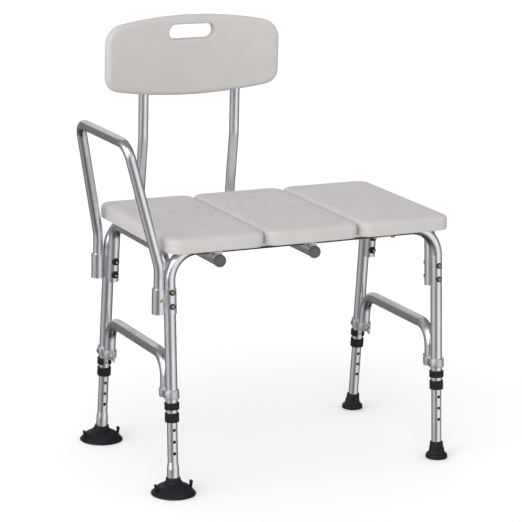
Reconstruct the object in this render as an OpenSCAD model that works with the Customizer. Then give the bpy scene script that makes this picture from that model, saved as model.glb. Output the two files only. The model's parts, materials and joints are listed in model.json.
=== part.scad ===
// Bath transfer bench: three blow-moulded seat panels on two long inverted-U
// tubes, two side tubes and two braces, four height-adjustable legs (suction
// cups on the tub side, rubber tips on the other), a lift-out armrest and a
// slide-out backrest. Millimetres, +Z up, +X to the rubber-tipped end, +Y to
// the back. The floor is z = 0 and the origin is under the middle of the box.

/* [Seat] */
// Height of the seat's top above the floor
seat_h = 550; // [545:1:555]
// Pitch of the three panels along the bench
panel_pitch = 222.7; // [221:0.1:223.4]
// Front-to-back depth of a panel
seat_d = 402; // [396:1:410]
// Thickness of a panel
panel_t = 32; // [28:1:36]
// Plan radius of a panel's corners
corner_r = 28; // [18:1:34]
// Radius of a panel's top edges
edge_r = 9; // [5:1:12]
// Diameter of a drain hole
drain_d = 7.2; // [5:0.1:9]
// Spacing of the drain holes along a column
drain_pitch = 74.5; // [60:0.5:76]
// Distance of a panel's outer drain columns from its middle
drain_x = 76.5; // [60:0.5:80]

/* [Tubes] */
// Outer diameter of the frame tubes
tube_od = 25.4; // [25.4:0.1:26]
// Bore of the frame tubes
tube_id = 22.36; // [22.3:0.01:22.4]
// Outer diameter of the tubes that slide in them
inner_od = 22.2; // [22:0.05:22.2]
// Bore of the sliding tubes
inner_id = 19; // [17:0.1:20]
// Distance of the legs from the middle plane, along X
leg_x = 320; // [316:1:321]
// Distance of the feet from the middle plane, along Y
foot_y = 199; // [190:1:205]
// Outward lean of the legs, in degrees
splay = 4.6; // [4:0.1:5]
// Bend radius of the long tubes
rail_r = 63; // [55:1:70]
// Bend radius of the side tubes
side_r = 38; // [35:1:46]
// Bend radius of the cross braces
brace_r = 46; // [42:1:50]
// Height of the axis of the cross braces
brace_z = 289; // [270:1:300]

/* [Legs] */
// Distance between height holes
hole_pitch = 25.4; // [25:0.1:26]
// Diameter of the height holes
hole_d = 7.2; // [7.2:0.1:7.6]
// Diameter of a suction cup
cup_d = 96; // [80:1:100]
// Diameter of a rubber tip's flange
tip_d = 48.5; // [40:0.5:54]

/* [Armrest] */
// Distance of the sockets outside the leg axes
socket_dx = 25; // [24:0.5:28]
// Height of the armrest's top bar
arm_z = 742; // [700:1:780]
// Outward lean of the armrest over its height
arm_lean_x = 59; // [40:1:70]
// Inward lean of each armrest leg
arm_lean_y = 37; // [20:1:50]

/* [Backrest] */
// Middle of the backrest along X
back_x = -98; // [-110:1:-90]
// Width of the backrest panel
back_w = 416; // [380:1:430]
// Highest point of the backrest panel
back_top = 946; // [930:1:960]
// Lowest point of the backrest panel
back_bottom = 768; // [750:1:780]
// Thickness of the backrest panel
back_t = 26; // [24:1:30]
// Distance between the two backrest tubes
back_gauge = 223; // [200:1:240]
// Length of the hand slot
slot_w = 110; // [90:1:130]
// Height of the hand slot
slot_h = 33; // [28:1:38]

/* [Hidden] */
$fn = 64;

SILVER = [0.78, 0.79, 0.8];
CAST = [0.7, 0.71, 0.72];
STEEL = [0.6, 0.61, 0.62];
PANEL = [0.78, 0.77, 0.76];
BLACK = [0.09, 0.09, 0.1];
CAP_GREY = [0.25, 0.26, 0.27];
BRASS = [0.75, 0.62, 0.3];

// Air left between pieces that only lie against each other.
gap = 0.15;
// How far a cut runs past the face it opens.
over = 1;
// Length of the band at each end of a bend, and what it adds to the diameter.
band_w = 0.8;
band_rise = 0.03;

// Levels of the frame
panel_base = seat_h - panel_t;
rail_z = seat_h - 33;
side_z = seat_h - 36;
saddle_t = 1.5;
receiver_z = rail_z - tube_od - saddle_t;
tube_end_z = 165.5;
stub_end_z = 382;
brace_end_z = 203;
// Distance between a leg's axis and the axis of the side tube beside it
pair_dy = 27;

// Corner bolts
bolt_z = [403, 433];
bolt_d = 6;
bolt_hole_d = 6.4;
bolt_head_d = 11.5;
bolt_head_h = 3.6;
nut_cap_d = 15;
nut_cap_h = 8;

// Seat fixings, one under the front and one under the rear of each panel
screw_dx = -10;
screw_d = 4.2;
screw_hole_d = 4.4;
screw_head_d = 9;
screw_head_h = 3.2;
screw_depth = 12;

// Armrest sockets
bracket_od = 29;
bracket_z = [387, 441];
arm_sleeve_r = bracket_od / 2;
arm_end_z = 389;
arm_bend_z = 486;
arm_button_z = 418;
arm_foot_r = 60;
arm_top_r = 36;

// Spring buttons
button_d = 7;
button_hole_d = 7.2;
button_proud = 2.5;
button_root = inner_od / 2 + 0.15;

// Brace collars and their studs
collar_od = 33;
collar_z = [205, 224];
stud_z = 214.5;
stud_d = 6;
stud_hole_d = 6.3;
stud_len = 42;
wing_bore_d = 6.14;
wing_hub_d = 12;
wing_hub_h = 8;
wing_span = 23;
wing_t = 3.4;

// Leg ends
clip_od = 32;
clip_z = [182, 197];
clip_gap = 64;
lock_od = 30.5;
lock_z = [155, 175];
button_z = 189.3;
ext_top_z = 310;
ext_end_z = 12;
flare_d = 26;
flare_z = [30, 54, 68];
cup_neck_d = 31.5;
cup_top_z = 35;
tab_w = 11;
tab_t = 5.5;
tab_z = [7, 25];
tip_neck_d = 28.6;
tip_top_z = 36;

// Backrest
back_y = 238;
back_curve_r = 1200;
back_edge_r = 1000;
back_top_r = 44;
back_low_r = 34;
slot_z = 910;
back_tube_y = 236;
back_tube_top = 884;
back_knee_z = 672;
back_heel_y = 258;
back_heel_r = 50;
back_knee_r = 120;
back_nose_y = 20;
back_screw_z = [800, 860];
back_button_y = 150;
receiver_y = [-172, 186];
cap_d = 27.5;
cap_t = 6.5;

// Box of the whole bench, which centres it on the origin
heel_slope = (back_heel_y - back_tube_y) / (back_knee_z - receiver_z);
heel_z = receiver_z + back_heel_r;
heel_mid_y = back_tube_y + (back_knee_z - heel_z) * heel_slope
    - back_heel_r * sqrt(1 + heel_slope * heel_slope);
y_max = heel_mid_y + back_heel_r + inner_od / 2;
y_min = -foot_y - cup_d / 2;
x_min = -leg_x - socket_dx - arm_lean_x - inner_od / 2;
x_max = leg_x + tip_d / 2;
shift = [-(x_min + x_max) / 2, -(y_min + y_max) / 2, 0];

LEFT = -1;
RIGHT = 1;
FRONT = -1;
REAR = 1;

// ---------------------------------------------------------------- helpers

function unit(v) = v / norm(v);

// Distance of a leg's axis from the middle plane at a height
function leg_y(z) = foot_y - z * tan(splay);

// Turn between the two legs of corner i of a path
function turn_at(p, i) = acos(unit(p[i] - p[i - 1]) * unit(p[i + 1] - p[i]));

// Length that the bend at corner i takes from each of its legs
function bend_cut(p, r, i) =
    i == 0 || i == len(p) - 1 ? 0 : r[i] * tan(turn_at(p, i) / 2);

// A path with both of its ends pushed out
function stretched(p) = let (n = len(p) - 1) [
    p[0] - over * unit(p[1] - p[0]),
    for (i = [1:1:n - 1]) p[i],
    p[n] + over * unit(p[n] - p[n - 1])
];

function arc(centre, r, from, to, steps) =
    [for (i = [0:steps]) let (a = from + (to - from) * i / steps)
        centre + r * [cos(a), sin(a)]];

module run(a, b, d) {
    v = b - a;
    translate(a)
        rotate([0, acos(v.z / norm(v)), atan2(v.y, v.x)])
            cylinder(h = norm(v), d = d);
}

module bend(p, i, r, d) {
    ahead = unit(p[i] - p[i - 1]);
    turn = turn_at(p, i);
    axis = unit(cross(ahead, unit(p[i + 1] - p[i])));
    inward = cross(axis, ahead);
    centre = p[i] - ahead * r * tan(turn / 2) + inward * r;
    multmatrix([
        [-inward.x, ahead.x, axis.x, centre.x],
        [-inward.y, ahead.y, axis.y, centre.y],
        [-inward.z, ahead.z, axis.z, centre.z],
        [0, 0, 0, 1]
    ])
        rotate_extrude(angle = turn)
            translate([r, 0])
                circle(d = d);
}

// Hair-thin band that closes the joint between a straight run and a bend
module band(at, way, d) {
    run(at - way * band_w / 2, at + way * band_w / 2, d + band_rise);
}

// Round bar along the points p, bent to radius r[i] at each corner
module bar_path(p, r, d) {
    for (i = [0:len(p) - 2]) {
        way = unit(p[i + 1] - p[i]);
        from = p[i] + way * bend_cut(p, r, i);
        to = p[i + 1] - way * bend_cut(p, r, i + 1);
        run(from, to, d);
        if (i > 0) band(from, way, d);
        if (i < len(p) - 2) band(to, way, d);
    }
    for (i = [1:1:len(p) - 2]) bend(p, i, r[i], d);
}

module tube_path(p, r, od, id) {
    difference() {
        bar_path(p, r, od);
        bar_path(stretched(p), r, id);
    }
}

module ring(od, id, z) {
    translate([0, 0, z[0]])
        difference() {
            cylinder(h = z[1] - z[0], d = od);
            translate([0, 0, -over]) cylinder(h = z[1] - z[0] + 2 * over, d = id);
        }
}

// Puts children on a leg: z runs up its axis, and +Y points into the bench
module on_leg(side, end) {
    translate([side * leg_x, end * foot_y, 0])
        rotate([end * splay, 0, 0])
            rotate([0, 0, end == REAR ? 180 : 0])
                children();
}

// Round hole or pin on a leg, across it along +Y
module across(z, from, to, d) {
    translate([0, from, z]) rotate([-90, 0, 0]) cylinder(h = to - from, d = d);
}

module to_row() {
    translate(shift) children();
}

// ------------------------------------------------------------------ paths

function long_path(end) = [
    [-leg_x, end * leg_y(tube_end_z), tube_end_z],
    [-leg_x, end * leg_y(rail_z), rail_z],
    [leg_x, end * leg_y(rail_z), rail_z],
    [leg_x, end * leg_y(tube_end_z), tube_end_z]
];
long_bends = [0, rail_r, rail_r, 0];

function cross_path(side, low, high) = [
    [side * leg_x, pair_dy - leg_y(low), low],
    [side * leg_x, pair_dy - leg_y(high), high],
    [side * leg_x, leg_y(high) - pair_dy, high],
    [side * leg_x, leg_y(low) - pair_dy, low]
];
side_bends = [0, side_r, side_r, 0];
brace_bends = [0, brace_r, brace_r, 0];

arm_x = -leg_x - socket_dx;
arm_y = leg_y(arm_button_z);
arm_path = [
    [arm_x, -arm_y, arm_end_z],
    [arm_x, -arm_y, arm_bend_z],
    [arm_x - arm_lean_x, -arm_y + arm_lean_y, arm_z],
    [arm_x - arm_lean_x, arm_y - arm_lean_y, arm_z],
    [arm_x, arm_y, arm_bend_z],
    [arm_x, arm_y, arm_end_z]
];
arm_bends = [0, arm_foot_r, arm_top_r, arm_top_r, arm_foot_r, 0];

function back_path(side) = let (x = back_x + side * back_gauge / 2) [
    [x, back_tube_y, back_tube_top],
    [x, back_tube_y, back_knee_z],
    [x, back_heel_y, receiver_z],
    [x, back_nose_y, receiver_z]
];
back_bends = [0, back_knee_r, back_heel_r, 0];

// ------------------------------------------------------------ long tubes

module bolt_holes(side, end, from, to) {
    on_leg(side, end)
        for (z = bolt_z) across(z, from, to, bolt_hole_d);
}

module seat_screw_places() {
    for (i = [-1:1]) for (end = [FRONT, REAR])
        translate([i * panel_pitch + screw_dx, end * leg_y(rail_z), rail_z])
            children();
}

module seat_screw_holes() {
    seat_screw_places()
        translate([0, 0, -tube_od / 2 - over])
            cylinder(h = tube_od + over + screw_depth, d = screw_hole_d);
}

module long_tube(end) {
    to_row() difference() {
        tube_path(long_path(end), long_bends, tube_od, tube_id);
        for (side = [LEFT, RIGHT]) {
            bolt_holes(side, end, -tube_od, tube_od);
            on_leg(side, end) across(button_z, 0, tube_od, button_hole_d);
        }
        seat_screw_holes();
    }
}

module front_frame_tube() color(SILVER) long_tube(FRONT);
module rear_frame_tube() color(SILVER) long_tube(REAR);

// ------------------------------------------------- side tubes and braces

module side_tube(side) {
    to_row() difference() {
        tube_path(cross_path(side, stub_end_z, side_z), side_bends, tube_od, tube_id);
        for (end = [FRONT, REAR]) bolt_holes(side, end, 0, 2 * tube_od);
    }
}

module left_side_tube() color(SILVER) side_tube(LEFT);
module right_side_tube() color(SILVER) side_tube(RIGHT);

module brace(side) {
    to_row() difference() {
        tube_path(cross_path(side, brace_end_z, brace_z), brace_bends, tube_od, tube_id);
        for (end = [FRONT, REAR])
            on_leg(side, end) across(stud_z, 0, 2 * tube_od, stud_hole_d);
    }
}

module left_brace() color(SILVER) brace(LEFT);
module right_brace() color(SILVER) brace(RIGHT);

// ------------------------------------------------------------ seat panels

module rounded_plan(w, d, r) {
    square([w - 2 * r, d], center = true);
    square([w, d - 2 * r], center = true);
    for (x = [-1, 1]) for (y = [-1, 1])
        translate([x * (w / 2 - r), y * (d / 2 - r)]) circle(r = r);
}

// Outline of a panel seen from its side, with its top corners rounded
module edge_profile(w) {
    translate([-w / 2, 0]) square([w, panel_t - edge_r]);
    translate([edge_r - w / 2, 0]) square([w - 2 * edge_r, panel_t]);
    for (x = [-1, 1]) translate([x * (w / 2 - edge_r), panel_t - edge_r]) circle(r = edge_r);
}

module panel_blank() {
    w = panel_pitch - 1;
    intersection() {
        linear_extrude(panel_t) rounded_plan(w, seat_d, corner_r);
        rotate([90, 0, 90]) linear_extrude(w + over, center = true) edge_profile(seat_d);
        rotate([90, 0, 0]) linear_extrude(seat_d + over, center = true) edge_profile(w);
    }
}

module drain_column(x, count) {
    for (i = [0:count - 1])
        translate([x, (i - (count - 1) / 2) * drain_pitch, -over])
            cylinder(h = panel_t + 2 * over, d = drain_d);
}

module seat_panel(i) {
    to_row() difference() {
        translate([i * panel_pitch, 0, panel_base]) difference() {
            panel_blank();
            drain_column(-drain_x, 3);
            drain_column(0, 4);
            drain_column(drain_x, 3);
        }
        for (end = [FRONT, REAR])
            run([-leg_x, end * leg_y(rail_z), rail_z], [leg_x, end * leg_y(rail_z), rail_z],
                tube_od + 2 * gap);
        if (i != 0)
            run([i * leg_x, pair_dy - leg_y(side_z), side_z],
                [i * leg_x, leg_y(side_z) - pair_dy, side_z], tube_od + 2 * gap);
        seat_screw_holes();
    }
}

module seat_panel_left() color(PANEL) seat_panel(-1);
module seat_panel_middle() color(PANEL) seat_panel(0);
module seat_panel_right() color(PANEL) seat_panel(1);

module seat_screws() color(STEEL) to_row() seat_screw_places() {
    translate([0, 0, -tube_od / 2 - screw_head_h]) cylinder(h = screw_head_h, d = screw_head_d);
    translate([0, 0, -tube_od / 2 - over])
        cylinder(h = tube_od + screw_depth, d = screw_d);
}

// -------------------------------------------------------------- receivers

module at_receiver(side) {
    translate([back_x + side * back_gauge / 2, 0, receiver_z]) children();
}

module receiver(side) {
    to_row() at_receiver(side) difference() {
        run([0, receiver_y[0], 0], [0, receiver_y[1], 0], tube_od);
        run([0, receiver_y[0] - over, 0], [0, receiver_y[1] + over, 0], tube_id);
        translate([0, back_button_y, -tube_od]) cylinder(h = tube_od, d = button_hole_d);
    }
}

module left_receiver() color(SILVER) receiver(LEFT);
module right_receiver() color(SILVER) receiver(RIGHT);

// Small blocks, hollowed to both tubes, that join each receiver to the rails
module receiver_saddles() color(CAST) to_row() difference() {
    for (side = [LEFT, RIGHT]) for (end = [FRONT, REAR])
        at_receiver(side)
            translate([0, end * leg_y(rail_z), tube_od / 2 + saddle_t / 2])
                cube([18, 18, 11], center = true);
    for (side = [LEFT, RIGHT])
        at_receiver(side) run([0, receiver_y[0], 0], [0, receiver_y[1], 0], tube_od);
    for (end = [FRONT, REAR]) bar_path(long_path(end), long_bends, tube_od);
}

module receiver_caps() color(CAP_GREY) to_row()
    for (side = [LEFT, RIGHT]) at_receiver(side) {
        run([0, receiver_y[0] - cap_t, 0], [0, receiver_y[0], 0], cap_d);
        run([0, receiver_y[0] - over, 0], [0, receiver_y[0] + 14, 0], tube_id - 2 * gap);
    }

// ---------------------------------------------------------- corner bolts

// Radius at which a corner bolt's head sits: on the bracket or on the tube
function head_r(side) = side == LEFT ? arm_sleeve_r : tube_od / 2;

module every_leg() {
    for (side = [LEFT, RIGHT]) for (end = [FRONT, REAR]) {
        $side = side;
        $end = end;
        on_leg(side, end) children();
    }
}

module corner_bolts() color(STEEL) to_row() every_leg() for (z = bolt_z) {
    seat_r = head_r($side);
    across(z, -seat_r - bolt_head_h, -seat_r, bolt_head_d);
    across(z, -seat_r - over, pair_dy + tube_od / 2 + nut_cap_h - 2, bolt_d);
}

module corner_nut_caps() color(BLACK) to_row() every_leg() for (z = bolt_z) {
    base = pair_dy + tube_od / 2;
    difference() {
        union() {
            across(z, base, base + nut_cap_h - 2.5, nut_cap_d);
            across(z, base, base + nut_cap_h, nut_cap_d - 5);
        }
        across(z, base - over, base + nut_cap_h - 1.8, bolt_d + gap);
    }
}

// ------------------------------------------------------- armrest brackets

module at_socket(end) {
    translate([arm_x, end * arm_y, 0])
        rotate([0, 0, end == FRONT ? 0 : 180])
            children();
}

module arm_bracket(end) {
    to_row() difference() {
        union() {
            on_leg(LEFT, end) translate([0, 0, bracket_z[0]])
                cylinder(h = bracket_z[1] - bracket_z[0], d = bracket_od);
            at_socket(end) translate([0, 0, bracket_z[0]])
                cylinder(h = bracket_z[1] - bracket_z[0], d = bracket_od);
        }
        on_leg(LEFT, end) {
            translate([0, 0, bracket_z[0] - 10])
                cylinder(h = bracket_z[1] - bracket_z[0] + 20, d = tube_od + 2 * gap);
            for (z = bolt_z) across(z, -tube_od, tube_od, bolt_hole_d);
        }
        // Flat that lets the side tube's stub lie against the leg
        bar_path(cross_path(LEFT, stub_end_z - 10, side_z), side_bends, tube_od + 2 * gap);
        at_socket(end) {
            translate([0, 0, bracket_z[0] - over])
                cylinder(h = bracket_z[1] - bracket_z[0] + 2 * over, d = tube_id);
            across(arm_button_z, -tube_od, 0, button_hole_d);
        }
    }
}

module front_arm_bracket() color(SILVER) arm_bracket(FRONT);
module rear_arm_bracket() color(SILVER) arm_bracket(REAR);

// ----------------------------------------------------------- brace collars

// Casting that clips round a leg and holds the brace's end beside it
module brace_collar(side, end) {
    to_row() on_leg(side, end) difference() {
        union() {
            ring(collar_od, tube_od, collar_z);
            translate([0, pair_dy * cos(splay), collar_z[0]])
                cylinder(h = collar_z[1] - collar_z[0], d = collar_od - 2);
            translate([-8, 0, collar_z[0]])
                cube([16, pair_dy, collar_z[1] - collar_z[0]]);
        }
        translate([0, 0, collar_z[0] - over])
            cylinder(h = collar_z[1] - collar_z[0] + 2 * over, d = tube_od + 2 * gap);
        translate([0, pair_dy * cos(splay), collar_z[0] - over])
            cylinder(h = collar_z[1] - collar_z[0] + 2 * over, d = tube_od + 2 * gap);
        across(stud_z, tube_od / 2, 2 * tube_od, stud_hole_d);
        translate([0, 0, stud_z]) rotate([0, end * 90, 0])
            cylinder(h = tube_od, d = screw_hole_d);
    }
}

module front_left_brace_collar() color(CAST) brace_collar(LEFT, FRONT);
module rear_left_brace_collar() color(CAST) brace_collar(LEFT, REAR);
module front_right_brace_collar() color(CAST) brace_collar(RIGHT, FRONT);
module rear_right_brace_collar() color(CAST) brace_collar(RIGHT, REAR);

stud_root = tube_od / 2 + 0.3;
wing_seat = pair_dy * cos(splay) + (collar_od - 2) / 2;

module collar_studs() color(STEEL) to_row() every_leg()
    across(stud_z, stud_root, stud_root + stud_len, stud_d);

// Screw that closes each collar, on its -X side
module collar_screws() color(STEEL) to_row() every_leg()
    translate([0, 0, stud_z]) rotate([0, $end * 90, 0]) {
        translate([0, 0, tube_od / 2 + 0.4]) cylinder(h = 4, d = screw_d);
        translate([0, 0, collar_od / 2]) cylinder(h = 2.4, d = 8);
    }

module wing_nut(side, end) {
    to_row() on_leg(side, end)
        translate([0, wing_seat + gap, stud_z]) rotate([-90, 0, 0]) difference() {
            union() {
                cylinder(h = wing_hub_h, d = wing_hub_d);
                for (s = [-1, 1]) translate([0, 0, 4]) rotate([90, 0, 90])
                    linear_extrude(wing_t, center = true) {
                        translate([s * (wing_span / 2 - 5), 6]) circle(r = 5);
                        polygon([[0, -3], [s * (wing_span / 2 - 1.5), 3],
                            [s * (wing_span / 2 - 8), 10], [0, 3]]);
                    }
            }
            translate([0, 0, -over]) cylinder(h = wing_hub_h + 20, d = wing_bore_d);
        }
}

module front_left_wing_nut() color(CAST) wing_nut(LEFT, FRONT);
module rear_left_wing_nut() color(CAST) wing_nut(LEFT, REAR);
module front_right_wing_nut() color(CAST) wing_nut(RIGHT, FRONT);
module rear_right_wing_nut() color(CAST) wing_nut(RIGHT, REAR);

// --------------------------------------------------------------- leg ends

// Split ring round the leg, open where the height button stands
module height_clip(side, end) {
    reach = clip_od * tan(clip_gap / 2);
    to_row() on_leg(side, end) difference() {
        ring(clip_od, tube_od + 2 * gap, clip_z);
        translate([0, 0, clip_z[0] - over])
            linear_extrude(clip_z[1] - clip_z[0] + 2 * over)
                polygon([[0, 0], [reach, clip_od], [-reach, clip_od]]);
    }
}

module front_left_height_clip() color(BLACK) height_clip(LEFT, FRONT);
module rear_left_height_clip() color(BLACK) height_clip(LEFT, REAR);
module front_right_height_clip() color(BLACK) height_clip(RIGHT, FRONT);
module rear_right_height_clip() color(BLACK) height_clip(RIGHT, REAR);

module spring_button(wall_r) {
    across(0, button_root, wall_r + button_proud - 1, button_d);
    across(0, button_root, wall_r + button_proud, button_d - 2.4);
}

module height_button(side, end) {
    to_row() on_leg(side, end) translate([0, 0, button_z]) spring_button(tube_od / 2);
}

module front_left_height_button() color(STEEL) height_button(LEFT, FRONT);
module rear_left_height_button() color(STEEL) height_button(LEFT, REAR);
module front_right_height_button() color(STEEL) height_button(RIGHT, FRONT);
module rear_right_height_button() color(STEEL) height_button(RIGHT, REAR);

module lock_ring(side, end) {
    to_row() on_leg(side, end) difference() {
        ring(lock_od, tube_id, lock_z);
        translate([0, 0, tube_end_z / cos(splay) - gap])
            cylinder(h = lock_z[1], d = tube_od + gap);
    }
}

module front_left_lock_ring() color(BLACK) lock_ring(LEFT, FRONT);
module rear_left_lock_ring() color(BLACK) lock_ring(LEFT, REAR);
module front_right_lock_ring() color(BLACK) lock_ring(RIGHT, FRONT);
module rear_right_lock_ring() color(BLACK) lock_ring(RIGHT, REAR);

// Sliding lower leg: drilled right through, and swelled at a suction foot
module leg_extension(side, end) {
    holes = floor((ext_top_z - button_z) / hole_pitch);
    to_row() on_leg(side, end) difference() {
        union() {
            translate([0, 0, ext_end_z]) cylinder(h = ext_top_z - ext_end_z, d = inner_od);
            if (side == LEFT) {
                translate([0, 0, flare_z[0]]) cylinder(h = flare_z[1] - flare_z[0], d = flare_d);
                translate([0, 0, flare_z[1]])
                    cylinder(h = flare_z[2] - flare_z[1], d1 = flare_d, d2 = inner_od);
            }
        }
        translate([0, 0, ext_end_z - over])
            cylinder(h = ext_top_z - ext_end_z + 2 * over, d = inner_id);
        for (i = [-4:holes - 1]) across(button_z + i * hole_pitch, -tube_od, tube_od, hole_d);
    }
}

module front_left_leg_extension() color(SILVER) leg_extension(LEFT, FRONT);
module rear_left_leg_extension() color(SILVER) leg_extension(LEFT, REAR);
module front_right_leg_extension() color(SILVER) leg_extension(RIGHT, FRONT);
module rear_right_leg_extension() color(SILVER) leg_extension(RIGHT, REAR);

// Room for the lower end of a leg in its foot
module foot_bore(side, end) {
    on_leg(side, end) {
        translate([0, 0, ext_end_z - gap]) cylinder(h = cup_d, d = inner_od + 2 * gap);
        if (side == LEFT)
            translate([0, 0, flare_z[0] - gap]) cylinder(h = cup_d, d = flare_d + 2 * gap);
    }
}

// Cup with a pull tab on each side
module suction_foot(end) {
    r = cup_d / 2;
    to_row() difference() {
        union() {
            translate([-leg_x, end * foot_y, 0]) rotate_extrude()
                polygon([[0, 0], [r, 0], [r, 2.5], [r - 6, 8], [r - 13.5, 16],
                    [r / 2, 21], [cup_neck_d / 2 + 1, 27], [cup_neck_d / 2 - 1, 30], [0, 30]]);
            on_leg(LEFT, end) translate([0, 0, 20]) cylinder(h = cup_top_z - 20, d = cup_neck_d);
            for (s = [-1, 1]) translate([s * (r - 8) - leg_x, end * foot_y, tab_z[0]]) {
                translate([-tab_t / 2, -tab_w / 2, 0])
                    cube([tab_t, tab_w, tab_z[1] - tab_z[0] - tab_w / 2]);
                translate([-tab_t / 2, 0, tab_z[1] - tab_z[0] - tab_w / 2])
                    rotate([0, 90, 0]) cylinder(h = tab_t, d = tab_w);
            }
        }
        foot_bore(LEFT, end);
    }
}

module front_left_suction_foot() color(BLACK) suction_foot(FRONT);
module rear_left_suction_foot() color(BLACK) suction_foot(REAR);

module rubber_tip(end) {
    r = tip_d / 2;
    neck = tip_neck_d / 2;
    to_row() difference() {
        union() {
            translate([leg_x, end * foot_y, 0]) rotate_extrude()
                polygon([[0, 0], [r, 0], [r, 4], [r - 2.5, 8], [neck + 2, 17], [neck - 1, 24], [0, 24]]);
            on_leg(RIGHT, end) translate([0, 0, 14]) cylinder(h = tip_top_z - 14, d = tip_neck_d);
        }
        foot_bore(RIGHT, end);
    }
}

module front_right_rubber_tip() color(BLACK) rubber_tip(FRONT);
module rear_right_rubber_tip() color(BLACK) rubber_tip(REAR);

// ---------------------------------------------------------------- armrest

module armrest_tube() color(SILVER) to_row() difference() {
    tube_path(arm_path, arm_bends, inner_od, inner_id);
    for (end = [FRONT, REAR])
        at_socket(end) across(arm_button_z, -tube_od, 0, hole_d);
}

module arm_button(end) {
    to_row() at_socket(end) translate([0, 0, arm_button_z]) mirror([0, 1, 0])
        spring_button(arm_sleeve_r);
}

module front_arm_button() color(BRASS) arm_button(FRONT);
module rear_arm_button() color(BRASS) arm_button(REAR);

// --------------------------------------------------------------- backrest

// Half angle that a corner of radius r leaves to the long edge arc
function edge_turn(r) = acos((back_w / 2 - r) / (back_edge_r - r));

// Height of a corner's centre below the crown of the long edge arc
function corner_drop(r) = back_edge_r - (back_edge_r - r) * sin(edge_turn(r));

function back_outline() = let (
    tx = back_w / 2 - back_top_r,
    tz = back_top - corner_drop(back_top_r),
    ta = edge_turn(back_top_r),
    lx = back_w / 2 - back_low_r,
    lz = back_bottom + corner_drop(back_low_r),
    la = edge_turn(back_low_r)
) concat(
    arc([tx, tz], back_top_r, 0, ta, 8),
    arc([0, back_top - back_edge_r], back_edge_r, ta, 180 - ta, 24),
    arc([-tx, tz], back_top_r, 180 - ta, 180, 8),
    arc([-lx, lz], back_low_r, 180, 180 + la, 8),
    arc([0, back_bottom + back_edge_r], back_edge_r, 180 + la, 360 - la, 24),
    arc([lx, lz], back_low_r, 360 - la, 360, 8)
);

module back_screw_places() {
    for (side = [LEFT, RIGHT]) for (z = back_screw_z)
        translate([back_x + side * back_gauge / 2, back_tube_y + inner_od / 2, z])
            rotate([90, 0, 0])
                children();
}

module backrest_panel() color(PANEL) to_row() difference() {
    intersection() {
        translate([back_x, back_y, 0]) rotate([90, 0, 0])
            linear_extrude(4 * back_t, center = true) polygon(back_outline());
        translate([back_x, back_y - back_curve_r, back_bottom - over]) difference() {
            cylinder(h = back_top - back_bottom + 2 * over, r = back_curve_r + back_t / 2);
            cylinder(h = back_top - back_bottom + 2 * over, r = back_curve_r - back_t / 2);
        }
    }
    translate([back_x, back_y, slot_z]) rotate([90, 0, 0])
        linear_extrude(4 * back_t, center = true) {
            square([slot_w - slot_h, slot_h], center = true);
            for (s = [-1, 1]) translate([s * (slot_w - slot_h) / 2, 0]) circle(d = slot_h);
        }
    for (side = [LEFT, RIGHT]) {
        w = inner_od + 2 * gap;
        x = back_x + side * back_gauge / 2;
        translate([x, back_tube_y, back_bottom - 40])
            cylinder(h = back_tube_top - back_bottom + 41, d = w);
        translate([x - w / 2, back_tube_y, back_bottom - 40])
            cube([w, back_t, back_tube_top - back_bottom + 41]);
    }
    back_screw_places() cylinder(h = 26, d = screw_hole_d);
}

module back_tube(side) {
    to_row() difference() {
        tube_path(back_path(side), back_bends, inner_od, inner_id);
        translate([0, 0, 0]) back_screw_places()
            translate([0, 0, -over]) cylinder(h = 26 + over, d = screw_hole_d);
        at_receiver(side) translate([0, back_button_y, -tube_od]) cylinder(h = tube_od, d = hole_d);
    }
}

module left_back_tube() color(SILVER) back_tube(LEFT);
module right_back_tube() color(SILVER) back_tube(RIGHT);

module back_screws() color(STEEL) to_row() back_screw_places() {
    translate([0, 0, -2.6]) cylinder(h = 2.6, d = screw_head_d);
    translate([0, 0, -over]) cylinder(h = 25, d = screw_d);
}

module back_button(side) {
    to_row() at_receiver(side) translate([0, back_button_y, 0])
        rotate([-90, 0, 0]) spring_button(tube_od / 2);
}

module left_back_button() color(BRASS) back_button(LEFT);
module right_back_button() color(BRASS) back_button(RIGHT);

front_frame_tube();
rear_frame_tube();
left_side_tube();
right_side_tube();
left_brace();
right_brace();
seat_panel_left();
seat_panel_middle();
seat_panel_right();
seat_screws();
left_receiver();
right_receiver();
receiver_saddles();
receiver_caps();
corner_bolts();
corner_nut_caps();
front_arm_bracket();
rear_arm_bracket();
front_left_brace_collar();
rear_left_brace_collar();
front_right_brace_collar();
rear_right_brace_collar();
collar_studs();
collar_screws();
front_left_wing_nut();
rear_left_wing_nut();
front_right_wing_nut();
rear_right_wing_nut();
front_left_height_clip();
rear_left_height_clip();
front_right_height_clip();
rear_right_height_clip();
front_left_height_button();
rear_left_height_button();
front_right_height_button();
rear_right_height_button();
front_left_lock_ring();
rear_left_lock_ring();
front_right_lock_ring();
rear_right_lock_ring();
front_left_leg_extension();
rear_left_leg_extension();
front_right_leg_extension();
rear_right_leg_extension();
front_left_suction_foot();
rear_left_suction_foot();
front_right_rubber_tip();
rear_right_rubber_tip();
armrest_tube();
front_arm_button();
rear_arm_button();
backrest_panel();
left_back_tube();
right_back_tube();
back_screws();
left_back_button();
right_back_button();
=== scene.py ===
import json
import math

import bmesh
import bpy
from mathutils import Matrix, Vector


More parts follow.
